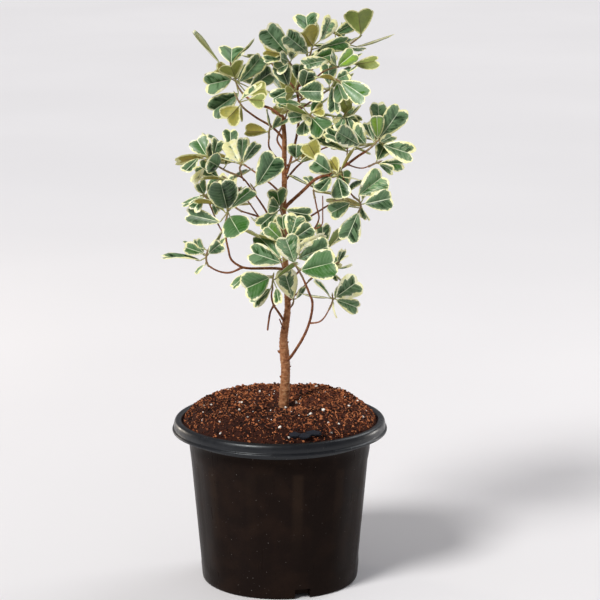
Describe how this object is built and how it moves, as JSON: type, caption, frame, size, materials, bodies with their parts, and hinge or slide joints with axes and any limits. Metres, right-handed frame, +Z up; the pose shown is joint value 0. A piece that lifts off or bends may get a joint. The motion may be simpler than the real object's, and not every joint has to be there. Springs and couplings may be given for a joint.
{
  "type": "potted triangle fig",
  "caption": "Small variegated triangle fig tree with wedge-shaped, cream-edged leaves on thin twigs, in soil in a round black nursery pot.",
  "frame": {"origin": "middle of the pot's flat base disc, on the ground", "axes": "+Z up the plant, +X to the plant's right as the picture shows it, -Y towards the picture's viewer"},
  "size_m": [0.2452, 0.217, 0.5776],
  "materials": {
    "black_plastic": "satin near-black polypropylene with shallow upright flutes and a rolled blue-black rim",
    "coir_soil": "damp reddish-brown coir crumb with white perlite grains",
    "bark": "rough grey-brown bark, redder and smoother on the thin twigs",
    "leaf": "satin dark green leaf with an irregular cream-yellow edge, olive underside"
  },
  "bodies": {
    "root": {"pot": "black_plastic", "soil": "coir_soil", "trunk_and_branches": "bark", "shoot_left_crown": "leaf", "shoot_left_crown_low": "leaf", "shoot_inner_left": "leaf", "shoot_crown_top": "leaf", "shoot_crown_left": "leaf", "shoot_crown_right": "leaf", "shoot_upper_right": "leaf", "shoot_trunk_side": "leaf", "shoot_upper_right_tip": "leaf", "shoot_mid_upper": "leaf", "shoot_mid": "leaf", "shoot_right_riser": "leaf", "shoot_right_tip": "leaf", "shoot_right_side": "leaf", "shoot_right_hanging": "leaf", "shoot_right_near": "leaf", "shoot_inner_right": "leaf", "shoot_left_far": "leaf", "shoot_left_rising": "leaf", "shoot_left_near": "leaf", "shoot_left_inner": "leaf", "shoot_left_low": "leaf", "shoot_left_far_low": "leaf", "shoot_fork": "leaf", "shoot_left_bottom": "leaf", "shoot_front": "leaf", "shoot_low_left": "leaf", "shoot_low_middle": "leaf", "shoot_low_right": "leaf", "shoot_front_right": "leaf", "shoot_back_upper": "leaf", "shoot_back_right": "leaf", "shoot_back_left": "leaf", "shoot_back_low": "leaf", "shoot_back_low_right": "leaf", "shoot_back_crown_left": "leaf", "shoot_back_crown_right": "leaf", "shoot_back_mid_left": "leaf", "shoot_back_mid_right": "leaf"}
  },
  "joints": []
}
